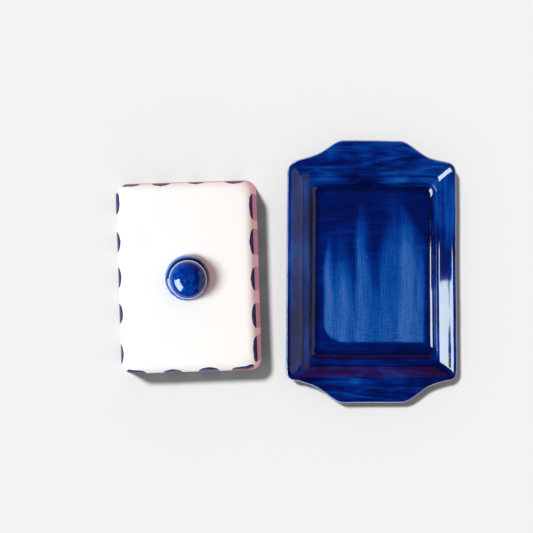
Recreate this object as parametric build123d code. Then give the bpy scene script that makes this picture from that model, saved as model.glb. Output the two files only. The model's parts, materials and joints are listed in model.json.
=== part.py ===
from build123d import *

import os
from math import cos, radians, sin, tan

# A glazed clay butter dish: an oblong dish with two ear handles, and a box-shaped lid with a turned knob.
#
# Millimetres. The origin is the middle of the dish's foot, on the table, with +Z up. X runs across the
# dish and Y along it, from ear to ear. The lid stands beside the dish, at -X, on the same table.
#
# The lid's foot sets the size of the ledge that it sits on, the ledge sets the hollow above and below it,
# and the hollow sets the rim, so the lid still fits when its size is changed.

# The lid: a box whose walls lean in a little, open underneath
LID_WIDTH = 102.0  # across the foot, outside
LID_LENGTH = 139.0  # along the foot, outside
LID_HEIGHT = 45.0  # foot to top face
LID_LEAN = 4.0  # degrees that each wall leans in
LID_WALL = 5.0
LID_ROOF = 5.5
LID_CORNER = 8.5  # radius of the upright corners, outside
LID_SHOULDER = 7.0  # radius between the walls and the top face
LID_INNER_CORNER = 5.0
LID_INNER_SHOULDER = 4.5
LID_FOOT_OUTER_ROUND = 2.0
LID_FOOT_INNER_ROUND = 1.4

# The knob, turned about one axis: a bead below, a groove, and a cap with a low dome
KNOB_BEAD_RADIUS = 15.8
KNOB_BEAD_HEIGHT = 9.0
KNOB_FOOT_RADIUS = 14.0
KNOB_GROOVE_RADIUS = 12.4
KNOB_GROOVE_HEIGHT = 1.2
KNOB_CAP_RADIUS = 13.3
KNOB_CAP_SIDE = 3.2  # groove to the edge of the dome
KNOB_DOME_RISE = 7.0
KNOB_EDGE_ROUND = 0.8

# How the lid sits in the dish
SEAT_PLAY = 0.8  # sideways, from the flat of the lid's foot to the end of the flat ledge
LEDGE_SHELF = 0.5  # how far the ledge reaches inwards past the play

# The dish
FLOOR_THICKNESS = 6.0
WELL_DEPTH = 6.0  # ledge to floor
WELL_LEAN = 18.0  # degrees that the walls below the ledge lean out
WELL_CORNER = 8.0
WELL_FOOT_ROUND = 2.5
LEDGE_NOSE_ROUND = 1.0
LEDGE_CORNER = 5.0
WALL_RISE = 6.8  # ledge to rim
WALL_FLARE = 50.0  # degrees that the walls above the ledge lean out
WALL_THICKNESS = 4.6
WALL_FOOT_ROUND = 1.8  # between the ledge and the flared wall
MOUTH_CORNER = 5.0
MOUTH_ROUND = 1.1
RIM_LAND = 2.6  # width of the rim, seen from above
RIM_THICKNESS = 5.0
RIM_ROUND = 1.3
RIM_OVERHANG = 1.6  # how far the rim stands out past the wall below it
RIM_CORNER = 8.0
HEEL_CORNER = 6.0  # upright corners of the outside, at the table
HEEL_ROUND = 3.5
FOOT_RING_WIDTH = 8.0
FOOT_RECESS_DEPTH = 1.5
FOOT_RECESS_CORNER = 5.0

# The ear handles, which carry on from the rim
EAR_REACH = 15.1  # out from the rim, at the middle of each short side
EAR_CREST = 38.0  # straight stretch of the outer edge
EAR_SLOPE = 9.0  # degrees at which an ear's edge runs into the corner
EAR_CREST_PULL = 9.0  # how far the edge keeps the direction of the crest
EAR_ROOT_PULL = 17.0  # and how far that of the slope

# Where the lid stands, beside the dish
PARK_GAP = 19.2  # from the dish's rim to the lid's foot
PARK_SHIFT = -3.7  # along Y
PARK_TURN = 1.8  # degrees about Z

NEAR = 0.05  # an edge this near a height or an outline counts as lying on it

# The lid's foot, then what it sits on, then the rim
foot_flat_half_width = LID_WIDTH / 2 - LID_FOOT_OUTER_ROUND
foot_flat_half_length = LID_LENGTH / 2 - LID_FOOT_OUTER_ROUND
foot_flat = LID_WALL - LID_FOOT_OUTER_ROUND - LID_FOOT_INNER_ROUND

ledge_height = FLOOR_THICKNESS + WELL_DEPTH
rim_height = ledge_height + WALL_RISE
wall_foot_run = WALL_FOOT_ROUND * tan(radians(90 - WALL_FLARE) / 2)
flare_run = WALL_RISE * tan(radians(WALL_FLARE))
well_run = WELL_DEPTH * tan(radians(WELL_LEAN))
ledge_width = wall_foot_run + 2 * SEAT_PLAY + foot_flat + LEDGE_SHELF
ledge_half_width = foot_flat_half_width + SEAT_PLAY + wall_foot_run
ledge_half_length = foot_flat_half_length + SEAT_PLAY + wall_foot_run
well_half_width = ledge_half_width - ledge_width
well_half_length = ledge_half_length - ledge_width
mouth_half_width = ledge_half_width + flare_run
mouth_half_length = ledge_half_length + flare_run
rim_half_width = mouth_half_width + RIM_LAND
rim_half_length = mouth_half_length + RIM_LAND
wall_across = WALL_THICKNESS / cos(radians(WALL_FLARE))
heel_half_width = ledge_half_width + wall_across - ledge_height * tan(radians(WALL_FLARE))
heel_half_length = ledge_half_length + wall_across - ledge_height * tan(radians(WALL_FLARE))
ear_tip = rim_half_length + EAR_REACH
park_x = -(rim_half_width + PARK_GAP + LID_WIDTH / 2)


def plate(half_width, half_length, corner, height):
    """A level rounded rectangle about the Z axis."""
    return Plane.XY.offset(height) * RectangleRounded(2 * half_width, 2 * half_length, corner)


def frustum(lower, upper):
    """The solid between two rounded rectangles."""
    return loft([lower, upper], ruled=True)


def level_edges(shape, height, half_width, half_length):
    """The edges that run round at a height, with this half width and half length."""
    ring = shape.edges().filter_by_position(Axis.Z, height - NEAR, height + NEAR)

    def on_ring(edge):
        box = edge.bounding_box()
        reach_x = max(abs(box.min.X), abs(box.max.X))
        reach_y = max(abs(box.min.Y), abs(box.max.Y))
        fits = reach_x < half_width + NEAR and reach_y < half_length + NEAR
        touches = reach_x > half_width - NEAR or reach_y > half_length - NEAR
        return fits and touches

    return ring.filter_by(on_ring)


def rim_outline():
    """The rim from above: straight sides, round corners, and an S-shaped edge up to each ear."""
    slope = radians(EAR_SLOPE)
    centre_x = rim_half_width - RIM_CORNER
    centre_y = rim_half_length - RIM_CORNER
    crest_end = (EAR_CREST / 2, ear_tip)
    crest_pull = (EAR_CREST / 2 + EAR_CREST_PULL, ear_tip)
    root = (centre_x + RIM_CORNER * sin(slope), centre_y + RIM_CORNER * cos(slope))
    root_pull = (root[0] - EAR_ROOT_PULL * cos(slope), root[1] + EAR_ROOT_PULL * sin(slope))
    # the corner's arc turns from the slope to straight along the side
    half_turn = (radians(90) - slope) / 2
    middle = (centre_x + RIM_CORNER * cos(half_turn), centre_y + RIM_CORNER * sin(half_turn))
    side = (rim_half_width, centre_y)
    quarter = [
        Bezier(crest_end, crest_pull, root_pull, root),
        ThreePointArc(root, middle, side),
    ]
    half = quarter + [edge.mirror(Plane.XZ) for edge in quarter]
    half.append(Line(side, (rim_half_width, -centre_y)))
    edges = half + [edge.mirror(Plane.YZ) for edge in half]
    for end in (ear_tip, -ear_tip):
        edges.append(Line((-EAR_CREST / 2, end), (EAR_CREST / 2, end)))
    return make_face(edges)


def make_rim():
    """The level rim with its ears, as a plate with rounded edges."""
    underside = rim_height - RIM_THICKNESS
    rim = Plane.XY.offset(underside) * extrude(rim_outline(), RIM_THICKNESS)
    return fillet(rim.edges().filter_by(Axis.Z, reverse=True), RIM_ROUND)


def make_body():
    """The outside of the dish below the rim, with its recessed foot."""
    top = rim_height - RIM_THICKNESS
    body = frustum(
        plate(heel_half_width, heel_half_length, HEEL_CORNER, 0),
        plate(rim_half_width - RIM_OVERHANG, rim_half_length - RIM_OVERHANG, RIM_CORNER - RIM_OVERHANG, top),
    )
    body = fillet(level_edges(body, 0, heel_half_width, heel_half_length), HEEL_ROUND)
    recess = frustum(
        plate(
            heel_half_width - FOOT_RING_WIDTH,
            heel_half_length - FOOT_RING_WIDTH,
            FOOT_RECESS_CORNER,
            0,
        ),
        plate(
            heel_half_width - FOOT_RING_WIDTH - FOOT_RECESS_DEPTH,
            heel_half_length - FOOT_RING_WIDTH - FOOT_RECESS_DEPTH,
            FOOT_RECESS_CORNER - FOOT_RECESS_DEPTH,
            FOOT_RECESS_DEPTH,
        ),
    )
    return body - recess


def make_dish():
    """The dish in one piece: foot, flared walls, level rim with two ears, ledge and well."""
    dish = make_body() + make_rim()
    flare = frustum(
        plate(ledge_half_width, ledge_half_length, LEDGE_CORNER, ledge_height),
        plate(mouth_half_width, mouth_half_length, MOUTH_CORNER, rim_height),
    )
    well = frustum(
        plate(
            well_half_width - well_run,
            well_half_length - well_run,
            WELL_CORNER - well_run,
            FLOOR_THICKNESS,
        ),
        plate(well_half_width, well_half_length, WELL_CORNER, ledge_height),
    )
    dish -= flare
    dish -= well
    floor_edges = level_edges(
        dish,
        FLOOR_THICKNESS,
        well_half_width - well_run,
        well_half_length - well_run,
    )
    dish = fillet(floor_edges, WELL_FOOT_ROUND)
    dish = fillet(level_edges(dish, ledge_height, well_half_width, well_half_length), LEDGE_NOSE_ROUND)
    dish = fillet(level_edges(dish, ledge_height, ledge_half_width, ledge_half_length), WALL_FOOT_ROUND)
    dish = fillet(level_edges(dish, rim_height, mouth_half_width, mouth_half_length), MOUTH_ROUND)
    return dish


def make_lid_shell():
    """The lid without its knob, about the Z axis, standing on its foot."""
    lean = tan(radians(LID_LEAN))
    top_inset = LID_HEIGHT * lean
    ceiling = LID_HEIGHT - LID_ROOF
    ceiling_inset = LID_WALL + ceiling * lean
    half_width = LID_WIDTH / 2
    half_length = LID_LENGTH / 2
    shell = frustum(
        plate(half_width, half_length, LID_CORNER, 0),
        plate(half_width - top_inset, half_length - top_inset, LID_CORNER, LID_HEIGHT),
    )
    shell = fillet(
        level_edges(shell, LID_HEIGHT, half_width - top_inset, half_length - top_inset),
        LID_SHOULDER,
    )
    cavity = frustum(
        plate(half_width - LID_WALL, half_length - LID_WALL, LID_INNER_CORNER, 0),
        plate(half_width - ceiling_inset, half_length - ceiling_inset, LID_INNER_CORNER, ceiling),
    )
    cavity = fillet(
        level_edges(cavity, ceiling, half_width - ceiling_inset, half_length - ceiling_inset),
        LID_INNER_SHOULDER,
    )
    shell -= cavity
    shell = fillet(level_edges(shell, 0, half_width, half_length), LID_FOOT_OUTER_ROUND)
    shell = fillet(
        level_edges(shell, 0, half_width - LID_WALL, half_length - LID_WALL),
        LID_FOOT_INNER_ROUND,
    )
    return shell


def make_knob():
    """The knob about the Z axis, standing on the plane Z = 0."""
    groove_top = KNOB_BEAD_HEIGHT + KNOB_GROOVE_HEIGHT
    edge_height = groove_top + KNOB_CAP_SIDE
    top = edge_height + KNOB_DOME_RISE
    # the dome is part of a sphere through its edge and its top
    dome_radius = (KNOB_CAP_RADIUS**2 + KNOB_DOME_RISE**2) / (2 * KNOB_DOME_RISE)
    middle_x = KNOB_CAP_RADIUS / 2
    middle_z = top - dome_radius + (dome_radius**2 - middle_x**2) ** 0.5
    profile = [
        Line((0, 0), (KNOB_FOOT_RADIUS, 0)),
        ThreePointArc(
            (KNOB_FOOT_RADIUS, 0),
            (KNOB_BEAD_RADIUS, KNOB_BEAD_HEIGHT / 2),
            (KNOB_FOOT_RADIUS, KNOB_BEAD_HEIGHT),
        ),
        Line((KNOB_FOOT_RADIUS, KNOB_BEAD_HEIGHT), (KNOB_GROOVE_RADIUS, KNOB_BEAD_HEIGHT)),
        Line((KNOB_GROOVE_RADIUS, KNOB_BEAD_HEIGHT), (KNOB_GROOVE_RADIUS, groove_top)),
        Line((KNOB_GROOVE_RADIUS, groove_top), (KNOB_CAP_RADIUS, edge_height)),
        ThreePointArc((KNOB_CAP_RADIUS, edge_height), (middle_x, middle_z), (0, top)),
        Line((0, top), (0, 0)),
    ]
    knob = revolve(Plane.XZ * make_face(profile), Axis.Z)
    cap_edge = level_edges(knob, edge_height, KNOB_CAP_RADIUS, KNOB_CAP_RADIUS)
    return fillet(cap_edge, KNOB_EDGE_ROUND)


def main():
    os.makedirs("parts", exist_ok=True)
    parked = Location((park_x, PARK_SHIFT, 0), (0, 0, PARK_TURN))
    export_step(make_dish(), "parts/dish.step")
    export_step(parked * make_lid_shell(), "parts/lid_shell.step")
    export_step(parked * Pos(0, 0, LID_HEIGHT) * make_knob(), "parts/lid_knob.step")


main()
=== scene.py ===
import json
import math

import bmesh
import bpy
from mathutils import Matrix, Vector, noise


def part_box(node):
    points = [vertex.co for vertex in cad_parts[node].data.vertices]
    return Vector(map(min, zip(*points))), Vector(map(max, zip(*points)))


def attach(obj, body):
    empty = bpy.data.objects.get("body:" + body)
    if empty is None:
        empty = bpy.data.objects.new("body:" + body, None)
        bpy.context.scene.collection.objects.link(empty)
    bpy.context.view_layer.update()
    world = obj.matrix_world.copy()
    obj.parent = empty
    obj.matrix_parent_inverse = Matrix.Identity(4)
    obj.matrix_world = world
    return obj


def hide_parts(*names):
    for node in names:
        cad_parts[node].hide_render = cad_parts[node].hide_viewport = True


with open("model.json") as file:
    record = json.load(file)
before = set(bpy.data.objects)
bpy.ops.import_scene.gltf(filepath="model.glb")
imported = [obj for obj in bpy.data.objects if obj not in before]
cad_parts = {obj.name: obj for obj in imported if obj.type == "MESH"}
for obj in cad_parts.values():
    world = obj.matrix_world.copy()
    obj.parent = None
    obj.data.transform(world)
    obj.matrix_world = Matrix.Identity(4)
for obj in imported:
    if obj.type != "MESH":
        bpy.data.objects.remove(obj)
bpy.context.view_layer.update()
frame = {"record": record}
noise.seed_set(1)  # else vector noise takes its offset from the clock

# A glazed butter dish and its lid, lying side by side and seen from above.
#
# Lengths in the profiles and patterns below are millimetres, turned into metres by MM where a mesh is made.
# A section is a list of corners (out, up, round, corner, ear, glaze): how far outwards from the piece's own
# datum outline, how high, the radius that rounds this corner of the section, the radius of the outline's
# upright corners there, how much of the ear's reach the outline has there, and whether glaze runs thin at
# this corner (up to 1) or pools in it (down to -1). On the dish's rim the thin value also places a painted
# highlight.

MM = 0.001

dish_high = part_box("dish")[1]
lid_low, lid_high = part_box("lid_shell")
knob_low, knob_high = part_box("lid_knob")
seat = next(m for m in frame["record"]["mounts"] if m["name"] == "lid_seat")

LEDGE_HEIGHT = seat["pos_m"][2] / MM
RIM_HEIGHT = dish_high.z / MM
RIM_HALF_WIDTH = dish_high.x / MM
LID_CENTRE = (lid_low + lid_high) / 2
LID_HEIGHT = lid_high.z / MM
KNOB_CENTRE = (knob_low + knob_high) / 2
KNOB_RADIUS = (knob_high.x - knob_low.x) / 2 / MM
KNOB_HEIGHT = (knob_high.z - knob_low.z) / MM

# The dish. Its datum outline is the outer edge of the ledge.
WALL_RUN = 8.1  # from the ledge out to the mouth, seen from above
WALL_BEND = (4.4, 3.25)  # out and up from the ledge: the wall is a little steeper above this
RIM_LAND = 2.6
RIM_THICKNESS = 5.0
LEDGE_WIDTH = 4.36
WELL_DEPTH = 6.0
WELL_RUN = 1.95
RIM_OVERHANG = 1.6
HEEL_INSET = 7.1
FOOT_WIDTH = 8.0
FOOT_RECESS = 1.5
DISH_LONGER = 18.5  # half length less half width, of every level outline of the dish
FLOOR_LEVEL = LEDGE_HEIGHT - WELL_DEPTH
FLOOR_FILL = 16.0  # in from the datum outline, where a level grid takes over from the section
UNDER_FILL = 28.0  # the same, for the recess inside the foot
EAR_REACH = 15.6
EAR_DROOP = 2.2  # how far an ear's underside comes down towards the wall that it springs from
EAR_DROOP_REACH = 8.0  # the reach at which that droop is full

# How the pressing of this dish strayed: at each height, how far its middle lies towards +X and how much its
# width grew, from the floor over the ledge to the rim
STRAYED = ((FLOOR_LEVEL, 2.2, 0.983), (LEDGE_HEIGHT, 1.0, 0.983), (RIM_HEIGHT, 1.15, 1.010))
WELL_STRAYED = (1.2, 0.026)  # the shift and the growth that the well inside the ledge has on top of these
WELL_STRAYED_FROM = 0.6  # in from the datum outline, where they set in
WELL_STRAYED_RUN = 3.2  # and how much further in they are full

# Clay strays from its outline in slow drifts and small ripples: the size of these features, and their reach
DRIFT = (60, 0.5)
DISH_RIPPLE = (22, 0.14)
LID_RIPPLE = (18, 0.13)
TOP_RIPPLE = (40, 0.12)
KNOB_RIPPLE = (24, 0.22)

# Each side of each ear was shaped by hand. Along X from the middle: where its crest ends, where its slope
# ends, where the shoulder beside it starts to fall and where that meets the corner. Then how far out the
# crest and the shoulder stand.
EAR_SIDES = {
    ("+y", "-x"): (20.0, 43.0, 41.0, 57.5, 15.7, 5.0),
    ("+y", "+x"): (20.0, 46.0, 44.0, 54.0, 15.3, 2.0),
    ("-y", "-x"): (20.0, 43.0, 40.0, 52.0, 15.8, 4.0),
    ("-y", "+x"): (21.0, 45.0, 43.0, 53.0, 15.6, 3.0),
}

# The lid. Its datum outline is the outside of its foot.
LID_HALF_WIDTH = 51.0
LID_LONGER = 18.5
LID_LEAN_RUN = 3.15
LID_WALL = 5.0
LID_ROOF = 5.5
LID_CORNER = 8.5
LID_SHOULDER = 7.0
TOP_FILL = 22.0  # in from the datum outline, where a level grid takes over from the section
CEILING_FILL = 26.0
LID_TURN = math.radians(1.8)
LID_GROWN = 1.006
LID_STRAYED = (0.4, 0.35)  # towards -X and -Y

# The painted stripes: for each side, how wide they are and where their middles lie along it, from the
# middle of the side towards +X or +Y
STRIPES = {
    "+x": (17.6, (-51.8, -28.4, -2.4, 23.7, 49.3)),
    "-x": (14.6, (-53.0, -24.6, 1.7, 26.5, 53.3)),
    "+y": (13.4, (-36.8, -15.7, 9.3, 35.1)),
    "-y": (14.8, (-37.3, -11.3, 14.5, 37.8)),
}
STRIPE_TIP_START = {"+x": 4.2, "-x": 4.6, "+y": 5.8, "-y": 4.6}  # down the shoulder from the flat top
STRIPE_TIP_LENGTH = 5.0
NO_STRIPE = -10.0  # the stripe value of points that no stripe comes near

# The knob: a bead, a groove over it and a domed cap with a small round edge. Heights are from its foot.
BEAD_MIDDLE = 4.4
BEAD_HALF_HEIGHT = 4.2
BEAD_ROUND = 3.4
BEAD_SWEEP = math.radians(62)  # the bead's round side goes this far down and up from level
GROOVE_MOUTH = 12.9
GROOVE_DEPTH = 0.9
GROOVE_BOTTOM = 9.0
GROOVE_WIDTH = 2.2
CAP_RADIUS = 13.3
CAP_EDGE_HEIGHT = 13.4
CAP_EDGE_ROUND = 0.95
KNOB_STEPS = 120
KNOB_LONGER = 1.03  # it is a little longer along Y than across

# The longest straight step along a section, and how many points run round an outline
DISH_STEP = 1.6
LID_STEP = 1.8
LONG_STEPS = 96
SHORT_STEPS = 80
ARC_STEPS = 8

# The camera looks straight down. Its lengths are metres, and its view is this wide on the table.
CAMERA_HEIGHT = 1.1
CAMERA_X = -0.0750
CAMERA_Y = 0.0036
VIEW_WIDTH = 0.393
SENSOR = 36.0

# Where the lamps and the mirrored cards stand, in metres
ROOM_MIDDLE = Vector((-0.07, 0.0, 0.03))
ROOM_RADIUS = 1.4

# The cloth round the lid, in millimetres: how far it goes in under the wall, how far out from there, and
# its height
CLOTH_TUCK = 3.0
CLOTH_REACH = 20.0
CLOTH_LIFT = 0.3


# ---------------------------------------------------------------- small helpers


def held(t):
    """t, held between 0 and 1."""
    return min(max(t, 0.0), 1.0)


def smooth(t):
    """0 below 0, 1 above 1, and an S between."""
    t = held(t)
    return t * t * (3 - 2 * t)


def uneven(point, kind, seed):
    """A smooth random offset in millimetres, for a kind of unevenness: (size of its features, reach)."""
    size, reach = kind
    x, y, z = (value / size for value in point)
    return noise.noise_vector(Vector((x + 17.3 * seed, y - 9.1 * seed, z + 4.7 * seed))) * reach


def srgb(red, green, blue):
    """A colour given as 0 to 255 on screen, as the linear values that shaders take."""
    linear = []
    for value in (red, green, blue):
        v = value / 255
        linear.append(v / 12.92 if v <= 0.04045 else ((v + 0.055) / 1.055) ** 2.4)
    return (*linear, 1.0)


# ---------------------------------------------------------------- sections and outlines


def round_corners(corners):
    """The places along each rounded corner of a section: one for an end or a sharp corner, else an arc."""
    places = [Vector(corner[:2]) for corner in corners]
    halves = [math.pi / 2] * len(corners)
    wanted = [0.0] * len(corners)
    for i in range(1, len(corners) - 1):
        halves[i] = (places[i - 1] - places[i]).angle(places[i + 1] - places[i]) / 2
        wanted[i] = corners[i][2] / math.tan(halves[i])
    arcs = []
    for i, here in enumerate(places):
        if wanted[i] == 0:
            arcs.append([here])
            continue
        # a rounding takes up to half of the stretch beside it, or what the next rounding leaves
        run = wanted[i]
        for n in (i - 1, i + 1):
            stretch = (places[n] - here).length
            run = min(run, max(0.49 * stretch, 0.98 * stretch - wanted[n]))
        a = (places[i - 1] - here).normalized()
        b = (places[i + 1] - here).normalized()
        half = halves[i]
        radius = run * math.tan(half)
        centre = here + (a + b).normalized() * (radius / math.sin(half))
        first = here + a * run - centre
        end = here + b * run - centre
        turn = first.angle_signed(end)
        pieces = max(4, math.ceil(abs(turn) / math.radians(10)), math.ceil(radius * abs(turn) / 0.7))
        arc = []
        for k in range(pieces + 1):
            swing = -turn * k / pieces
            arc.append(centre + Matrix.Rotation(swing, 2) @ first)
        arcs.append(arc)
    return arcs


def round_section(corners, step):
    """Rounds a section's corners and splits its straight stretches.

    Returns points (out, up, corner, ear, thin), where thin swells to the corner's glaze value in the middle
    of each rounding and is 0 elsewhere."""
    points = []
    last = len(corners) - 1
    arcs = round_corners(corners)
    for i, arc in enumerate(arcs):
        corner, ear, glaze = corners[i][3:]
        for k, place in enumerate(arc):
            swell = math.sin(math.pi * k / (len(arc) - 1)) if len(arc) > 1 else 0
            points.append((place.x, place.y, corner, ear, glaze * swell))
        if i == last:
            break
        start = arc[-1]
        end = arcs[i + 1][0]
        next_corner, next_ear = corners[i + 1][3:5]
        pieces = max(1, math.ceil((end - start).length / step))
        if next_ear != ear:
            pieces = max(pieces, 12)
        for k in range(1, pieces):
            t = k / pieces
            place = start.lerp(end, t)
            corner_here = corner + (next_corner - corner) * t
            ear_here = ear + (next_ear - ear) * t
            points.append((place.x, place.y, corner_here, ear_here, 0.0))
    return points


def outline(half_width, half_length, corner):
    """Points (x, y, side) round a rounded rectangle, anticlockwise from the -Y end of the +X side."""
    corner = max(min(corner, half_width, half_length), 0.2)
    across = half_width - corner
    down = half_length - corner
    points = []

    def straight(start, end, pieces, side):
        for k in range(pieces):
            t = k / pieces
            x = start[0] + (end[0] - start[0]) * t
            y = start[1] + (end[1] - start[1]) * t
            points.append((x, y, side))

    def bend(centre, first_angle, side, next_side):
        for k in range(ARC_STEPS):
            angle = first_angle + math.pi / 2 * k / ARC_STEPS
            x = centre[0] + corner * math.cos(angle)
            y = centre[1] + corner * math.sin(angle)
            points.append((x, y, side if k <= ARC_STEPS // 2 else next_side))

    straight((half_width, -down), (half_width, down), LONG_STEPS, "+x")
    bend((across, down), 0, "+x", "+y")
    straight((across, half_length), (-across, half_length), SHORT_STEPS, "+y")
    bend((-across, down), math.pi / 2, "+y", "-x")
    straight((-half_width, down), (-half_width, -down), LONG_STEPS, "-x")
    bend((-across, -down), math.pi, "-x", "-y")
    straight((-across, -half_length), (across, -half_length), SHORT_STEPS, "-y")
    bend((across, -down), 3 * math.pi / 2, "-y", "+x")
    return points


def four_sides(ring):
    """A ring's vertices as four sides, each from the middle of one corner to the middle of the next.

    The +X and -X sides go up along Y and the others along X."""
    half_arc = ARC_STEPS // 2
    count = len(ring)
    starts = [
        -half_arc,
        LONG_STEPS + half_arc,
        LONG_STEPS + SHORT_STEPS + ARC_STEPS + half_arc,
        2 * LONG_STEPS + SHORT_STEPS + 2 * ARC_STEPS + half_arc,
        2 * LONG_STEPS + 2 * SHORT_STEPS + 3 * ARC_STEPS + half_arc,
    ]
    sides = []
    for first, end in zip(starts, starts[1:]):
        sides.append([ring[k % count] for k in range(first, end + 1)])
    right, top, left, bottom = sides
    return right, top[::-1], left[::-1], bottom


def fill_level(bm, ring):
    """Fills a ring of vertices with an even grid of quads, by blending its four sides.

    Returns the vertices that it added."""
    right, top, left, bottom = four_sides(ring)
    # rows go up along the +X and -X sides, columns across
    rows = len(right) - 1
    columns = len(top) - 1
    grid = []
    added = []
    for i in range(rows + 1):
        v = i / rows
        line = []
        for j in range(columns + 1):
            u = j / columns
            if i == 0:
                vert = bottom[j]
            elif i == rows:
                vert = top[j]
            elif j == 0:
                vert = left[i]
            elif j == columns:
                vert = right[i]
            else:
                flat = left[i].co * (1 - u) + right[i].co * u + bottom[j].co * (1 - v) + top[j].co * v
                low = bottom[0].co * (1 - u) + bottom[columns].co * u
                high = top[0].co * (1 - u) + top[columns].co * u
                vert = bm.verts.new(flat - low * (1 - v) - high * v)
                added.append(vert)
            line.append(vert)
        grid.append(line)
    for line, after in zip(grid, grid[1:]):
        for j in range(columns):
            bm.faces.new([line[j], line[j + 1], after[j + 1], after[j]])
    return added


def join_rings(bm, rings):
    """Quads between each ring of vertices and the next."""
    for ring, after in zip(rings, rings[1:]):
        count = len(ring)
        for k in range(count):
            n = (k + 1) % count
            bm.faces.new([ring[k], ring[n], after[n], after[k]])


def finish_mesh(bm, name):
    """Makes an object of a mesh in millimetres, smooth and in metres."""
    bmesh.ops.recalc_face_normals(bm, faces=bm.faces)
    bmesh.ops.scale(bm, vec=(MM, MM, MM), verts=bm.verts)
    for face in bm.faces:
        face.smooth = True
    mesh = bpy.data.meshes.new(name)
    bm.to_mesh(mesh)
    bm.free()
    piece = bpy.data.objects.new(name, mesh)
    bpy.context.scene.collection.objects.link(piece)
    return piece


# ---------------------------------------------------------------- the dish


def ear_reach(x, end):
    """How far the rim reaches out past the short side's straight outline, at x along it."""
    crest, root, fall, corner, reach, shoulder = EAR_SIDES[(end, "+x" if x > 0 else "-x")]
    across = abs(x)
    # both sides of an ear meet at one reach in the middle
    reach += (EAR_REACH - reach) * smooth(1 - across / crest)
    slope = smooth((root - across) / (root - crest))
    beside = held((corner - across) / (corner - fall))
    return (reach - shoulder) * slope + shoulder * beside


def dish_section():
    """The dish's section, from its floor over the rim to the middle of its underside."""
    rim_out = WALL_RUN + RIM_LAND
    underside = RIM_HEIGHT - RIM_THICKNESS
    heel = -HEEL_INSET
    return [
        (-FLOOR_FILL, FLOOR_LEVEL, 0, 4.0, 0, 0),
        (-LEDGE_WIDTH - WELL_RUN, FLOOR_LEVEL, 7.4, 6.0, 0, -1),
        (-LEDGE_WIDTH, LEDGE_HEIGHT, 0.9, 7.0, 0, 0.1),
        (0.0, LEDGE_HEIGHT, 3.0, 4.0, 0, -1),
        (WALL_BEND[0], LEDGE_HEIGHT + WALL_BEND[1], 26.0, 4.2, 0, 0),
        (WALL_RUN, RIM_HEIGHT, 3.2, 4.5, 0, 0),
        (rim_out, RIM_HEIGHT, 1.25, 8.0, 1, 1),
        (rim_out, underside, 0.8, 8.0, 1, 0.5),
        (rim_out - RIM_OVERHANG, underside, 1.2, 6.4, 0, 0),
        (heel, 0.0, 3.5, 6.0, 0, 0),
        (heel - FOOT_WIDTH, 0.0, 0.8, 5.0, 0, 0),
        (heel - FOOT_WIDTH - FOOT_RECESS, FOOT_RECESS, 1.0, 3.5, 0, 0),
        (-UNDER_FILL, FOOT_RECESS, 0, 3.0, 0, 0),
    ]


def strayed(z):
    """How far towards +X the inside of the dish lies at this height, and how much it grew."""
    for (low, shift, grown), (high, next_shift, next_grown) in zip(STRAYED, STRAYED[1:]):
        if z <= high or high == RIM_HEIGHT:
            t = held((z - low) / (high - low))
            return shift + (next_shift - shift) * t, grown + (next_grown - grown) * t


def shape_dish_point(x, y, z, inside, well):
    """The unevenness of a dish that was pressed and finished by hand.

    inside is true from the floor to the rim, and well goes from 0 on the ledge to 1 in the well."""
    shift, grown = strayed(z if inside else RIM_HEIGHT)
    shift += WELL_STRAYED[0] * well
    grown += WELL_STRAYED[1] * well
    high = smooth(z / 6)
    drift = uneven((x, y, z), DRIFT, 1)
    ripple = uneven((x, y, z), DISH_RIPPLE, 2)
    dx = shift * (1 if inside else high) + (drift.x + ripple.x) * high
    dy = (drift.y + ripple.y) * high
    dz = (drift.z * 0.6 + ripple.z * 0.6) * smooth((z - 2) / 8)
    return x * (grown - 0.00012 * y) + dx, y + dy, z + dz


def reach_out(x, y, z, side, ear):
    """Moves a point of a short side out with its ear, and an ear's underside down towards its wall."""
    reach = ear_reach(x, side)
    if z < RIM_HEIGHT - RIM_THICKNESS + 0.5 and ear < 1:
        z -= EAR_DROOP * (1 - ear) ** 3 * min(reach / EAR_DROOP_REACH, 1)
    return y + math.copysign(reach * ear, y), z


def make_dish():
    """The dish as one skin of quads, with the values that its glaze needs stored on the points."""
    bm = bmesh.new()
    thin_and_shade_layer = bm.verts.layers.float.new("thin_and_shade")
    across_layer = bm.verts.layers.float.new("across")
    ledge_half_width = RIM_HALF_WIDTH - WALL_RUN - RIM_LAND
    floor_out = -LEDGE_WIDTH - WELL_RUN
    rings = []
    passed_rim = False
    for out, up, corner, ear, thin_and_shade in round_section(dish_section(), DISH_STEP):
        if ear == 1:
            passed_rim = True
        half_width = ledge_half_width + out
        well = 0.0 if passed_rim else held((-WELL_STRAYED_FROM - out) / WELL_STRAYED_RUN)
        ring = []
        for x, y, side in outline(half_width, half_width + DISH_LONGER, corner):
            short_side = side in ("+y", "-y")
            z = up
            if ear > 0 and short_side:
                y, z = reach_out(x, y, z, side, ear)
            vert = bm.verts.new(shape_dish_point(x, y, z, not passed_rim, well))
            vert[thin_and_shade_layer] = thin_and_shade
            vert[across_layer] = 1.0 if short_side and (out > floor_out or passed_rim) else 0.0
            ring.append(vert)
        rings.append(ring)
    join_rings(bm, rings)
    fill_level(bm, rings[0])
    fill_level(bm, rings[-1])
    return finish_mesh(bm, "glazed_dish")


# ---------------------------------------------------------------- the lid


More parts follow.
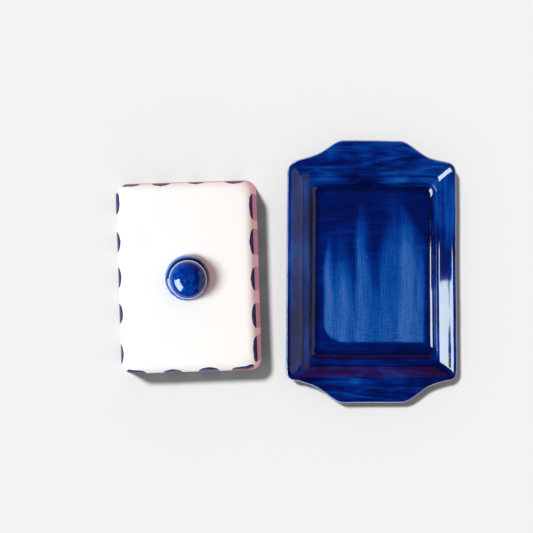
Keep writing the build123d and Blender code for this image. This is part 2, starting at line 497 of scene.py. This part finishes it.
def stripe_cover(side, along, down):
    """How far inside a stripe a point is, in millimetres, and negative outside.

    along is the place along the side, and down is the length of the section from the flat top."""
    width, middles = STRIPES[side]
    best = -20.0
    for number, middle in enumerate(middles):
        seed = number * 3.7 + {"+x": 1, "-x": 11, "+y": 23, "-y": 37}[side]
        shift = noise.noise(Vector((seed, 0.4, 0.0))) * 1.2
        half = width / 2 * (1 + 0.14 * noise.noise(Vector((0.3, seed, 0.0))))
        start = STRIPE_TIP_START[side] + 1.1 * noise.noise(Vector((0.1, 0.7, seed)))
        lean = 0.055 * noise.noise(Vector((seed, 2.1, 1.3)))
        t = (down - start) / STRIPE_TIP_LENGTH
        if t <= 0:
            reach = t * 4
        elif t < 1:
            reach = half * (1 - (1 - t) ** 2.6) ** (1 / 2.4)
        else:
            reach = half
        wander = 0.55 * noise.noise(Vector((down / 9, seed, along / 30)))
        gap = abs(along - middle - shift - lean * down)
        best = max(best, reach + wander - gap)
    return best


def lid_section():
    """The lid's section, from its top over the shoulder and the foot to its ceiling."""
    ceiling = LID_HEIGHT - LID_ROOF
    lean = LID_LEAN_RUN / LID_HEIGHT
    return [
        (-TOP_FILL, LID_HEIGHT, 0, 6.0, 0, 0),
        (-LID_LEAN_RUN, LID_HEIGHT, LID_SHOULDER, LID_CORNER, 0, 0),
        (0.0, 0.0, 2.0, LID_CORNER, 0, 1),
        (-LID_WALL, 0.0, 1.4, 5.0, 0, 1),
        (-LID_WALL - ceiling * lean, ceiling, 4.5, 5.0, 0, -1),
        (-CEILING_FILL, ceiling, 0, 3.0, 0, 0),
    ]


def shape_lid_point(x, y, z):
    """The unevenness of a lid that was pressed and finished by hand."""
    x = x * LID_GROWN - LID_STRAYED[0]
    y = y * LID_GROWN - LID_STRAYED[1]
    drift = uneven((x, y, z), DRIFT, 5)
    ripple = uneven((x, y, z), LID_RIPPLE, 6)
    high = smooth(z / 8)
    dz = (drift.z * 0.5 + ripple.z * 0.8) * high
    return x + (drift.x + ripple.x) * high, y + (drift.y + ripple.y) * high, z + dz


def make_lid():
    """The lid without its knob, as one skin of quads."""
    bm = bmesh.new()
    thin_and_shade_layer = bm.verts.layers.float.new("thin_and_shade")
    stripe_layer = bm.verts.layers.float.new("stripe")
    rings = []
    down = 0.0
    before = None
    flat_end = -LID_LEAN_RUN - LID_SHOULDER
    outside = True
    for out, up, corner, _ear, thin_and_shade in round_section(lid_section(), LID_STEP):
        if before and before[0] >= flat_end:
            down += math.dist(before, (out, up))
        if up < 0.05:
            outside = False
        before = (out, up)
        half_width = LID_HALF_WIDTH + out
        # the stripes end a little way round the foot
        painted = down > 0 and (outside or up < 1.9 and out > -2.0)
        ring = []
        for x, y, side in outline(half_width, half_width + LID_LONGER, corner):
            along = y if side in ("+x", "-x") else x
            vert = bm.verts.new(shape_lid_point(x, y, up))
            vert[thin_and_shade_layer] = thin_and_shade
            vert[stripe_layer] = stripe_cover(side, along, down) if painted else NO_STRIPE
            ring.append(vert)
        rings.append(ring)
    join_rings(bm, rings)
    for vert in fill_level(bm, rings[0]) + fill_level(bm, rings[-1]):
        vert[stripe_layer] = NO_STRIPE
        vert.co.z += uneven((vert.co.x, vert.co.y, 0), TOP_RIPPLE, 7).z
    turn = Matrix.Rotation(LID_TURN, 4, "Z")
    shift = Matrix.Translation((LID_CENTRE.x / MM, LID_CENTRE.y / MM, 0))
    bmesh.ops.transform(bm, matrix=shift @ turn, verts=bm.verts)
    return finish_mesh(bm, "glazed_lid")


def knob_section():
    """The knob's section: radius, height, and how thin the glaze runs there (up to 1) or painted shade
    (below 0), from the middle of its foot to the tip of its dome.
    """
    foot = 0.02
    points = [(0.0, foot, 0), (8.0, foot, 0), (13.2, foot, 0)]
    # the bead, with glaze running thin round its side, and painted shade towards the groove, where the cap
    # shades it
    for k in range(17):
        angle = BEAD_SWEEP * (k / 8 - 1)
        radius = KNOB_RADIUS - BEAD_ROUND + BEAD_ROUND * math.cos(angle)
        up = BEAD_MIDDLE + BEAD_HALF_HEIGHT * math.sin(angle) / math.sin(BEAD_SWEEP)
        points.append((radius, up, 0.4 * math.cos(angle) ** 6 - 0.5 * smooth((k - 14) / 2)))
    # the groove, in painted shade
    for k in range(7):
        t = k / 6
        radius = GROOVE_MOUTH - GROOVE_DEPTH * math.sin(math.pi * t) - 0.2 * t
        points.append((radius, GROOVE_BOTTOM + GROOVE_WIDTH * t, -1.0))
    # the cap's side, in some painted shade under its edge, and its edge, where the glaze breaks
    points += [(12.85, 11.9, -0.5), (13.05, 12.6, 0.2)]
    edge_centre = CAP_RADIUS - CAP_EDGE_ROUND
    for k in range(9):
        t = k / 8
        angle = math.radians(-10 + 78 * t)
        radius = edge_centre + CAP_EDGE_ROUND * math.cos(angle)
        up = CAP_EDGE_HEIGHT - 0.35 + CAP_EDGE_ROUND * math.sin(angle)
        points.append((radius, up, min(1.0, 0.5 + 1.2 * math.sin(math.pi * t))))
    # the dome
    dome_foot = CAP_EDGE_HEIGHT + 0.45
    dome_radius = edge_centre + CAP_EDGE_ROUND * math.cos(math.radians(68))
    for k in range(1, 25):
        t = k / 24
        angle = math.pi / 2 * t
        radius = dome_radius * math.cos(angle) ** 0.92 if t < 1 else 0.0
        points.append((radius, dome_foot + (KNOB_HEIGHT - dome_foot) * math.sin(angle) ** 1.25, 0))
    return points


def make_knob():
    """The knob, turned about its axis and a little out of true."""
    bm = bmesh.new()
    thin_and_shade_layer = bm.verts.layers.float.new("thin_and_shade")
    rings = []
    for radius, up, thin_and_shade in knob_section():
        lean = Vector((0.6, -0.8)) + Vector((0.75, -1.2)) * smooth((up - 7) / 5)
        ring = []
        if radius < 0.01:
            vert = bm.verts.new((lean.x, lean.y, up))
            vert[thin_and_shade_layer] = thin_and_shade
            rings.append([vert])
            continue
        for k in range(KNOB_STEPS):
            angle = 2 * math.pi * k / KNOB_STEPS
            x = radius * math.cos(angle)
            y = radius * math.sin(angle) * KNOB_LONGER
            wobble = uneven((x, y, up), KNOB_RIPPLE, 9) * smooth(up / 3)
            vert = bm.verts.new((x + lean.x + wobble.x, y + lean.y + wobble.y, up + wobble.z * 0.8))
            vert[thin_and_shade_layer] = thin_and_shade
            ring.append(vert)
        rings.append(ring)
    for ring, after in zip(rings, rings[1:]):
        if len(ring) == 1 or len(after) == 1:
            tip = ring[0] if len(ring) == 1 else after[0]
            edge = after if len(ring) == 1 else ring
            for k in range(KNOB_STEPS):
                bm.faces.new([edge[k], edge[(k + 1) % KNOB_STEPS], tip])
        else:
            join_rings(bm, [ring, after])
    centre = Matrix.Translation((KNOB_CENTRE.x / MM, KNOB_CENTRE.y / MM, knob_low.z / MM))
    bmesh.ops.transform(bm, matrix=centre, verts=bm.verts)
    return finish_mesh(bm, "glazed_knob")


# ---------------------------------------------------------------- materials


class Nodes:
    """Short forms for building a material's nodes. A value is a number, a tuple or a node's output."""

    def __init__(self, name):
        self.material = bpy.data.materials.new(name)
        self.material.use_nodes = True
        self.tree = self.material.node_tree
        self.shader = self.tree.nodes["Principled BSDF"]
        self.place = self.tree.nodes.new("ShaderNodeTexCoord").outputs["Object"]

    def put(self, value, socket):
        if isinstance(value, (int, float, tuple)):
            socket.default_value = value
        else:
            self.tree.links.new(value, socket)

    def math(self, kind, *values):
        node = self.tree.nodes.new("ShaderNodeMath")
        node.operation = kind
        for value, socket in zip(values, node.inputs):
            self.put(value, socket)
        return node.outputs[0]

    def plus(self, total, *others):
        for other in others:
            total = self.math("ADD", total, other)
        return total

    def times(self, product, *others):
        for other in others:
            product = self.math("MULTIPLY", product, other)
        return product

    def fit(self, value, scale, shift):
        """value * scale + shift."""
        return self.math("MULTIPLY_ADD", value, scale, shift)

    def length(self, x, y):
        return self.math("SQRT", self.plus(self.times(x, x), self.times(y, y)))

    def scaled(self, sizes, shift=(0, 0, 0)):
        """The place, divided along each axis by a size in millimetres."""
        node = self.tree.nodes.new("ShaderNodeMapping")
        self.put(self.place, node.inputs["Vector"])
        self.put(tuple(1 / (size * MM) for size in sizes), node.inputs["Scale"])
        self.put(shift, node.inputs["Location"])
        return node.outputs[0]

    def axes(self, vector):
        """The parts of a vector or of a colour."""
        node = self.tree.nodes.new("ShaderNodeSeparateXYZ")
        self.put(vector, node.inputs[0])
        return node.outputs

    def in_mm(self, shift=(0, 0, 0)):
        """The place in millimetres, as x, y and z."""
        return self.axes(self.scaled((1, 1, 1), shift))

    def noise_at(self, place, detail, rough, warp=0.0):
        node = self.tree.nodes.new("ShaderNodeTexNoise")
        self.put(place, node.inputs["Vector"])
        self.put(1.0, node.inputs["Scale"])
        self.put(detail, node.inputs["Detail"])
        self.put(rough, node.inputs["Roughness"])
        self.put(warp, node.inputs["Distortion"])
        return node.outputs["Fac"]

    def noise(self, sizes, shift=(0, 0, 0), detail=3.0, rough=0.55, warp=0.0):
        """Noise with features of these sizes in millimetres along X, Y and Z."""
        return self.noise_at(self.scaled(sizes, shift), detail, rough, warp)

    def spread(self, value, low, high, to_low=0.0, to_high=1.0):
        """Maps low..high smoothly to to_low..to_high, held at the ends."""
        node = self.tree.nodes.new("ShaderNodeMapRange")
        node.interpolation_type = "SMOOTHSTEP"
        keys = ("Value", "From Min", "From Max", "To Min", "To Max")
        for key, amount in zip(keys, (value, low, high, to_low, to_high)):
            self.put(amount, node.inputs[key])
        return node.outputs[0]

    def mix(self, amount, first, second):
        """The first value where amount is 0, the second where it is 1."""
        node = self.tree.nodes.new("ShaderNodeMix")
        node.data_type = "RGBA"
        # a mix node has its factor in socket 0, its colours in 6 and 7, and gives a colour out at 2
        self.put(amount, node.inputs[0])
        self.put(first, node.inputs[6])
        self.put(second, node.inputs[7])
        return node.outputs[2]

    def ramp(self, value, stops):
        """Colours along a value: stops are (position, colour)."""
        node = self.tree.nodes.new("ShaderNodeValToRGB")
        self.put(value, node.inputs[0])
        band = node.color_ramp
        while len(band.elements) < len(stops):
            band.elements.new(0.5)
        for element, (position, colour) in zip(band.elements, stops):
            element.position = position
            element.color = colour
        return node.outputs[0]

    def stored(self, name):
        """A value that was stored on the mesh's points."""
        node = self.tree.nodes.new("ShaderNodeAttribute")
        node.attribute_name = name
        return node.outputs["Fac"]

    def set_gloss(self, roughness, ior=1.5, coat=0.3):
        """The gloss of a glaze."""
        self.put(roughness, self.shader.inputs["Roughness"])
        self.put(ior, self.shader.inputs["IOR"])
        self.put(coat, self.shader.inputs["Coat Weight"])
        self.put(0.03, self.shader.inputs["Coat Roughness"])

    def set_swell(self, height, distance):
        """Lifts the surface by this height, times a distance in millimetres."""
        node = self.tree.nodes.new("ShaderNodeBump")
        self.put(distance * MM, node.inputs["Distance"])
        self.put(height, node.inputs["Height"])
        self.put(node.outputs[0], self.shader.inputs["Normal"])

    def set_colour(self, colour):
        self.put(colour, self.shader.inputs["Base Color"])

    def specks(self, size, share, radius):
        """1 in small round specks, in this share of cells of this size in millimetres, 0 elsewhere."""
        cells = self.tree.nodes.new("ShaderNodeTexVoronoi")
        self.put(self.scaled((size, size, size)), cells.inputs["Vector"])
        self.put(1.0, cells.inputs["Scale"])
        near = self.spread(cells.outputs["Distance"], radius / size, 0.6 * radius / size)
        chosen = self.spread(self.axes(cells.outputs["Color"])[0], 1 - share, 1 - share + 0.01)
        return self.times(near, chosen)


# The colours of the dish's glaze, of the lid's and of the knob's
DEEP = srgb(0, 8, 62)
NAVY = srgb(0, 22, 98)
COBALT = srgb(0, 46, 134)
BRIGHT = srgb(10, 80, 164)
SKY = srgb(62, 108, 184)
PERIWINKLE = srgb(108, 136, 200)
PALE_BLUE = srgb(164, 180, 228)
DARK_SPECK = srgb(0, 2, 30)
REFLECTED_GREY = srgb(58, 62, 88)
CLAY = srgb(206, 186, 160)

COOL_WHITE = srgb(245, 246, 245)
WARM_WHITE = srgb(243, 243, 240)
GREY_SPECK = srgb(120, 112, 110)
PAINT_DARK = srgb(4, 6, 76)
PAINT = srgb(14, 20, 90)
PAINT_PALE = srgb(44, 54, 126)

KNOB_DEEP = srgb(0, 8, 66)
KNOB_DARK = srgb(0, 30, 112)
KNOB_BLUE = srgb(0, 60, 158)
KNOB_BRIGHT = srgb(30, 116, 214)
KNOB_REFLECTED_PALE = srgb(126, 170, 236)
KNOB_WORN = srgb(196, 202, 232)

# The strokes that were drawn along the dish's floor: how far across each one lies from the middle, how far
# up along the dish it starts, and how pale it is
FLOOR_STROKES = (
    (-34.0, 20.0, 0.58),
    (-30.0, 28.0, 0.74),
    (-25.5, 12.0, 0.50),
    (-20.0, 16.0, 0.70),
    (-15.5, 10.0, 0.56),
    (-12.0, 2.0, 0.42),
    (-7.5, 42.0, 0.64),
    (-3.0, 36.0, 0.58),
    (2.0, 12.0, 0.45),
    (6.5, 4.0, 0.42),
    (10.5, 28.0, 0.52),
    (15.0, 46.0, 0.47),
    (20.5, 42.0, 0.50),
    (25.0, 43.0, 0.72),
    (31.0, 38.0, 0.70),
    (35.0, 30.0, 0.56),
    (39.0, 22.0, 0.60),
)


STROKES_ACROSS = 45.0  # how far from the middle the ramps over the strokes go
STROKES_ALONG = 60.0  # and how far up and down the dish a stroke can start

# The brushed patch on the floor: its left edge, its -Y edge, the radius of the corner between them and its
# right edge
PATCH_LEFT = -34.5
PATCH_END = -53.0
PATCH_CORNER = 17.0
PATCH_RIGHT = 41.0


def floor_strokes(n, x, y, wander, grain):
    """How pale the strokes on the dish's floor are, and where they have started."""
    position = n.fit(n.plus(x, wander, grain), 1 / (2 * STROKES_ACROSS), 0.5)
    starts = []
    shades = []
    for across, start, shade in FLOOR_STROKES:
        stop = 0.5 + across / (2 * STROKES_ACROSS)
        height = (start + STROKES_ALONG) / (2 * STROKES_ALONG)
        starts.append((stop, (height, height, height, 1)))
        shades.append((stop, (shade, shade, shade, 1)))
    start = n.fit(n.ramp(position, starts), 2 * STROKES_ALONG, -STROKES_ALONG)
    start = n.plus(start, n.times(grain, 7.0))
    drawn = n.spread(n.math("SUBTRACT", start, y), -22.0, 34.0)
    # the strokes pale along their length and run together at their end
    together = n.spread(y, 5.0, -42.0)
    shade = n.times(n.ramp(position, shades), n.fit(together, -0.30, 1.0))
    return n.fit(together, 0.22, shade), drawn


def floor_patch(n, x, y, wander, grain):
    """Where the brushed patch lies: a rounded corner at the lower left, and turned in at the top."""
    past_left = n.math("SUBTRACT", PATCH_LEFT + PATCH_CORNER, n.fit(wander, 0.25, x))
    past_end = n.math("SUBTRACT", PATCH_END + PATCH_CORNER, n.fit(grain, 0.5, y))
    far = n.length(n.math("MAXIMUM", past_left, 0.0), n.math("MAXIMUM", past_end, 0.0))
    inside = n.spread(far, PATCH_CORNER + 0.6, PATCH_CORNER - 2.4)
    right = n.fit(wander, 0.3, n.fit(n.spread(y, 22.0, 52.0), -15.0, PATCH_RIGHT))
    inside_right = n.spread(n.math("SUBTRACT", right, x), -1.6, 2.6)
    left = n.fit(n.spread(y, 0.0, 50.0), 9.0, PATCH_LEFT)
    inside_left = n.spread(n.math("SUBTRACT", x, left), -1.5, 3.5)
    return n.times(inside, inside_right, inside_left)


def floor_tone(n, x, y, hairs, broad, clouds):
    """How pale the dish's floor is: a brushed patch of strokes in pooled glaze."""
    wander = n.fit(n.noise((30, 50, 30), (2, 2, 2), 2.0), 9.0, -4.5)
    grain = n.fit(n.noise((0.9, 16, 8), (5, 9, 0), 3.0), 2.0, -1.0)
    chalk = n.noise((0.8, 0.8, 0.8), (0, 4, 4), 2.0)
    weave = n.noise((9, 0.6, 0.6), (8, 1, 3), 2.0)
    shade, drawn = floor_strokes(n, x, y, wander, grain)
    fine = n.plus(n.fit(hairs, 0.62, -0.31), n.fit(chalk, 0.34, -0.17))
    crossed = n.times(n.fit(weave, 0.5, -0.25), n.spread(y, -25.0, -48.0))
    brushed = n.plus(shade, fine, crossed)
    pooled_and_shade = n.fit(n.plus(clouds, -0.5), 0.25, n.fit(broad, 0.40, -0.04))
    return n.mix(n.times(floor_patch(n, x, y, wander, grain), drawn), pooled_and_shade, brushed)


def wall_tone(n, x, y, hairs, broad, clouds):
    """How pale the dish's walls, ledge and ears are: palest at one corner, darker towards the -Y end."""
    tone = n.plus(n.fit(broad, 0.95, -0.27), n.fit(hairs, 0.30, -0.15), n.fit(clouds, 0.80, -0.34))
    pale_corner = n.times(n.spread(x, 22.0, 50.0), n.spread(y, 5.0, 45.0))
    tone = n.plus(tone, n.times(pale_corner, 0.17))
    return n.fit(n.spread(y, -50.0, -75.0), -0.10, tone)


def dish_glaze():
    """Cobalt brushed on by hand under clear glaze: dark where it is thick, pale along the brush's hairs."""
    n = Nodes("dish_glaze")
    x, y, z = n.in_mm()
    across = n.stored("across")
    thin_and_shade = n.stored("thin_and_shade")
    # hairs and strokes run along Y on the floor and the long walls, along X on the ears and short walls
    hairs_y = n.noise((0.6, 26, 3), (3, 1, 0), 4.0, 0.65)
    hairs_x = n.noise((30, 0.7, 0.7), (1, 5, 2), 4.0, 0.65)
    broad_y = n.noise((7, 60, 7), (7, 2, 0), 2.0, 0.5, warp=0.5)
    broad_x = n.noise((38, 6, 6), (2, 8, 4), 2.0, 0.5, warp=1.2)
    clouds = n.noise((26, 26, 26), (6, 3, 8), 2.0)
    hairs = n.mix(across, hairs_y, hairs_x)
    walls = wall_tone(n, x, y, hairs, n.mix(across, broad_y, broad_x), clouds)
    floor = floor_tone(n, x, y, hairs_y, broad_x, clouds)
    tone = n.mix(n.spread(z, 8.5, 6.8), walls, floor)
    tone = n.plus(tone, n.times(n.math("MINIMUM", thin_and_shade, 0.0), 0.15))
    tones = ((0.0, DEEP), (0.18, NAVY), (0.36, COBALT), (0.56, BRIGHT), (0.80, SKY), (1.0, PERIWINKLE))
    colour = n.ramp(tone, tones)
    # the rim's edges are pale: partly glaze worn thin there, partly a painted highlight where the rounded
    # rim catches the window; and there are pale and dark specks
    worn_and_highlight = n.times(thin_and_shade, n.fit(n.noise((8, 8, 8)), 0.9, 0.45))
    colour = n.mix(n.times(n.spread(worn_and_highlight, 0.35, 0.80), 0.8), colour, PALE_BLUE)
    colour = n.mix(n.times(n.specks(7.0, 0.30, 0.28), 0.7), colour, PALE_BLUE)
    colour = n.mix(n.times(n.specks(5.0, 0.30, 0.30), 0.8), colour, DARK_SPECK)
    # painted reflection: the -X ledge is painted greyer, standing in for the grey room on the +X side
    # mirrored in its glaze
    grey_reflection_on_ledge = n.times(n.spread(z, 9.2, 11.2), n.spread(z, 14.5, 12.5), n.spread(x, -42.5, -45.0))
    colour = n.mix(n.times(grey_reflection_on_ledge, 0.5), colour, REFLECTED_GREY)
    # bare clay under the foot
    foot = n.spread(z, 0.7, 0.2)
    n.set_colour(n.mix(foot, colour, CLAY))
    n.set_gloss(n.spread(foot, 0.0, 1.0, 0.06, 0.85))
    n.set_swell(n.fit(hairs, 0.05, n.noise((18, 18, 18), (5, 5, 5), 1.0)), 0.20)
    return n.material


def lid_glaze():
    """Opaque white glaze with navy stripes brushed over the shoulder."""
    n = Nodes("lid_glaze")
    z = n.in_mm()[2]
    white = n.mix(n.noise((35, 35, 35), (1, 1, 1), 2.0), COOL_WHITE, WARM_WHITE)
    white = n.mix(n.times(n.specks(21.0, 0.35, 0.42), 0.6), white, GREY_SPECK)
    edge = n.fit(n.noise((1.6, 1.6, 1.6)), 0.9, -0.45)
    cover = n.spread(n.plus(n.stored("stripe"), edge), -0.10, 0.20)
    brush = n.fit(n.noise((2.6, 2.6, 16), (4, 4, 4)), 1.5, -0.25)
    paint = n.ramp(brush, ((0.15, PAINT_DARK), (0.5, PAINT), (0.9, PAINT_PALE)))
    colour = n.mix(n.times(cover, 0.98), white, paint)
    foot = n.spread(z, 0.9, 0.3)
    n.set_colour(n.mix(foot, colour, CLAY))
    n.set_gloss(n.spread(foot, 0.0, 1.0, 0.08, 0.85), ior=1.42, coat=0.0)
    n.set_swell(n.fit(cover, 0.10, n.noise((24, 24, 24), (2, 7, 5), 1.0)), 0.20)
    return n.material


def knob_glaze():
    """Cobalt glaze drawn round the knob with a brush, breaking pale where an edge thins it."""
    n = Nodes("knob_glaze")
    x, y, z = n.in_mm(tuple(-value / MM for value in KNOB_CENTRE))
    thin_and_shade = n.stored("thin_and_shade")
    angle = n.math("ARCTAN2", y, x)
    # the pattern follows the turning: slow round the axis, quick across it
    turned = n.tree.nodes.new("ShaderNodeCombineXYZ")
    n.put(n.times(n.math("SINE", angle), 1.5), turned.inputs[0])
    n.put(n.times(n.math("COSINE", angle), 1.5), turned.inputs[1])
    n.put(n.plus(n.times(n.length(x, y), 0.42), n.times(z, 0.3)), turned.inputs[2])
    tone = n.fit(n.noise_at(turned.outputs[0], 4.0, 0.6), 1.1, -0.16)
    # painted light and shade: paler towards -X and -Y, the side facing the window, and darker in the groove
    # and under the cap's edge, where the cap shades the bead
    run = n.math("SUBTRACT", n.times(y, -0.4), x)
    pooled_and_shade = n.math("MINIMUM", thin_and_shade, 0.0)
    tone = n.plus(tone, n.times(run, 0.012), n.times(pooled_and_shade, 0.4))
    colour = n.ramp(tone, ((0.0, KNOB_DEEP), (0.25, KNOB_DARK), (0.5, KNOB_BLUE), (0.9, KNOB_BRIGHT)))
    # painted reflection: the bead's side towards -X and +Y is painted pale, where it would mirror the lid's
    # white top; the edges are pale where the glaze runs thin
    painted_reflection_side = n.spread(n.fit(x, -0.6, y), 5.0, 15.0)
    on_bead = n.spread(z, -1.2, -3.0)
    colour = n.mix(n.times(painted_reflection_side, on_bead, 0.9), colour, KNOB_REFLECTED_PALE)
    colour = n.mix(n.times(n.spread(thin_and_shade, 0.35, 0.60), 0.9), colour, KNOB_WORN)
    n.set_colour(colour)
    n.set_gloss(0.05)
    n.set_swell(n.noise((12, 12, 12), (3, 3, 3), 1.0), 0.10)
    return n.material


# ---------------------------------------------------------------- the studio


# The colours of the cards that the glaze mirrors, and how strongly they glow
WINDOW = (0.84, 0.97, 1.0, 1)
WARM_WALL = srgb(216, 96, 110)
GREY_WALL = srgb(190, 190, 200)
CLOTH = srgb(206, 136, 148)
WINDOW_GLOW = 14.0
WARM_GLOW = 0.45
GREY_GLOW = 1.1
CLOTH_GLOW = 1.0


def make_camera():
    """Straight down, with the dish on the right and the lid on the left."""
    data = bpy.data.cameras.new("camera")
    data.sensor_width = SENSOR
    data.lens = SENSOR * CAMERA_HEIGHT / VIEW_WIDTH
    data.clip_start = 0.05
    data.clip_end = 200
    camera = bpy.data.objects.new("camera", data)
    camera.location = (CAMERA_X, CAMERA_Y, CAMERA_HEIGHT)
    bpy.context.scene.collection.objects.link(camera)
    bpy.context.scene.camera = camera


def make_floor():
    """A plain pale floor."""
    bpy.ops.mesh.primitive_plane_add(size=200, location=(0, 0, 0))
    floor = bpy.context.object
    floor.name = "floor"
    material = bpy.data.materials.new("floor_paper")
    material.use_nodes = True
    shader = material.node_tree.nodes["Principled BSDF"]
    shader.inputs["Base Color"].default_value = (0.42, 0.4165, 0.4165, 1)
    shader.inputs["Roughness"].default_value = 0.9
    shader.inputs["Specular IOR Level"].default_value = 0.1
    floor.data.materials.append(material)
    return floor


def towards(azimuth, elevation):
    """The direction at these angles in degrees, round from +X towards +Y and up from level."""
    around = math.radians(azimuth)
    up = math.radians(elevation)
    return Vector((math.cos(around) * math.cos(up), math.sin(around) * math.cos(up), math.sin(up)))


def group_of(name, items):
    """These objects as a group that a lamp or a card can be held to."""
    group = bpy.data.collections.new(name)
    for item in items:
        group.objects.link(item)
    return group


def glow_only_in_gloss(mesh, name, colour, strength, pieces):
    """An object that lights nothing and only shows mirrored in the glaze of these pieces."""
    material = bpy.data.materials.new(name)
    material.use_nodes = True
    nodes = material.node_tree.nodes
    nodes.clear()
    glow = nodes.new("ShaderNodeEmission")
    glow.inputs["Color"].default_value = colour
    glow.inputs["Strength"].default_value = strength
    output = nodes.new("ShaderNodeOutputMaterial")
    material.node_tree.links.new(glow.outputs[0], output.inputs["Surface"])
    mesh.materials.append(material)
    card = bpy.data.objects.new(name, mesh)
    bpy.context.scene.collection.objects.link(card)
    card.visible_camera = False
    card.visible_diffuse = False
    card.visible_transmission = False
    card.visible_shadow = False
    card.light_linking.receiver_collection = group_of(name + "_shows_in", pieces)


def make_room_card(name, azimuths, elevations, colour, strength, pieces):
    """A curved card round the room, between these angles as seen from the middle of the set."""
    steps = 12
    verts = []
    for k in range(steps + 1):
        azimuth = azimuths[0] + (azimuths[1] - azimuths[0]) * k / steps
        for elevation in elevations:
            verts.append(ROOM_MIDDLE + towards(azimuth, elevation) * ROOM_RADIUS)
    faces = [(2 * k, 2 * k + 1, 2 * k + 3, 2 * k + 2) for k in range(steps)]
    mesh = bpy.data.meshes.new(name)
    mesh.from_pydata(verts, [], faces)
    glow_only_in_gloss(mesh, name, colour, strength, pieces)


def make_lid_surround(lid):
    """The warm cloth that the lid's steep walls mirror when they are seen from above."""
    across = LID_HALF_WIDTH - CLOTH_TUCK
    along = across + LID_LONGER
    verts = []
    for grow in (0.0, CLOTH_REACH):
        for x_side, y_side in ((-1, -1), (1, -1), (1, 1), (-1, 1)):
            verts.append((x_side * (across + grow), y_side * (along + grow), CLOTH_LIFT))
    faces = [(k, (k + 1) % 4, 4 + (k + 1) % 4, 4 + k) for k in range(4)]
    mesh = bpy.data.meshes.new("warm_cloth")
    mesh.from_pydata(verts, [], faces)
    turn = Matrix.Translation((LID_CENTRE.x, LID_CENTRE.y, 0)) @ Matrix.Rotation(LID_TURN, 4, "Z")
    mesh.transform(turn @ Matrix.Scale(MM, 4))
    glow_only_in_gloss(mesh, "warm_cloth", CLOTH, CLOTH_GLOW, [lid])


def add_lamp(data, direction, lit):
    """Places a lamp in this direction from the middle of the set, lighting only these objects."""
    lamp = bpy.data.objects.new(data.name, data)
    lamp.location = ROOM_MIDDLE + direction * ROOM_RADIUS
    lamp.rotation_euler = direction.to_track_quat("Z", "Y").to_euler()
    lamp.visible_glossy = False
    bpy.context.scene.collection.objects.link(lamp)
    lamp.light_linking.receiver_collection = group_of(data.name + "_lights", lit)


def make_lamps(floor, pieces):
    """Daylight from a high window on the left with a warm room opposite it, and the floor's own soft key."""
    day = bpy.data.lights.new("day", "AREA")
    day.shape = "DISK"
    day.size = 0.55
    day.energy = 18.6
    day.color = (0.87, 0.98, 1.0)
    add_lamp(day, towards(189, 54), pieces)

    warm = bpy.data.lights.new("warm_room", "SUN")
    warm.energy = 1.2
    warm.angle = math.radians(110)
    warm.color = (1.0, 0.36, 0.27)
    add_lamp(warm, towards(40, 28), pieces)

    key = bpy.data.lights.new("floor_key", "SUN")
    key.energy = 5.55
    key.angle = math.radians(6)
    add_lamp(key, Vector((-0.28, 0.28, 1.0)).normalized(), [floor])

    sky = bpy.data.lights.new("floor_sky", "SUN")
    sky.energy = 0.85
    sky.angle = math.radians(150)
    add_lamp(sky, Vector((0, 0, 1)), [floor])


def make_world():
    """An even pale fill that hardly shows in the glaze."""
    world = bpy.data.worlds.new("studio")
    world.use_nodes = True
    bpy.context.scene.world = world
    nodes = world.node_tree.nodes
    links = world.node_tree.links
    fill = nodes["Background"]
    fill.inputs["Color"].default_value = (1.0, 0.995, 0.995, 1)
    fill.inputs["Strength"].default_value = 0.25
    dim = nodes.new("ShaderNodeBackground")
    dim.inputs["Color"].default_value = (0.55, 0.6, 0.75, 1)
    dim.inputs["Strength"].default_value = 0.05
    path = nodes.new("ShaderNodeLightPath")
    choose = nodes.new("ShaderNodeMixShader")
    links.new(path.outputs["Is Glossy Ray"], choose.inputs[0])
    links.new(fill.outputs[0], choose.inputs[1])
    links.new(dim.outputs[0], choose.inputs[2])
    links.new(choose.outputs[0], nodes["World Output"].inputs["Surface"])


# ---------------------------------------------------------------- putting it together


dish = make_dish()
dish.data.materials.append(dish_glaze())
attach(dish, "dish")
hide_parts("dish")

lid = make_lid()
lid.data.materials.append(lid_glaze())
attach(lid, "lid")
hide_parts("lid_shell")

knob = make_knob()
knob.data.materials.append(knob_glaze())
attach(knob, "lid")
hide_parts("lid_knob")

pieces = [dish, lid, knob]
make_camera()
make_world()
make_lamps(make_floor(), pieces)
make_room_card("tall_window", (182.2, 234), (24, 56), WINDOW, WINDOW_GLOW, pieces)
make_room_card("short_window", (177.2, 182.2), (41, 56), WINDOW, WINDOW_GLOW, pieces)
make_room_card("warm_wall", (40, 122), (0.5, 27), WARM_WALL, WARM_GLOW, pieces)
make_room_card("grey_wall", (-45, 38), (0.5, 36), GREY_WALL, GREY_GLOW, [dish, knob])
make_lid_surround(lid)

bpy.context.scene.view_settings.view_transform = "Standard"
bpy.context.scene.view_settings.look = "None"
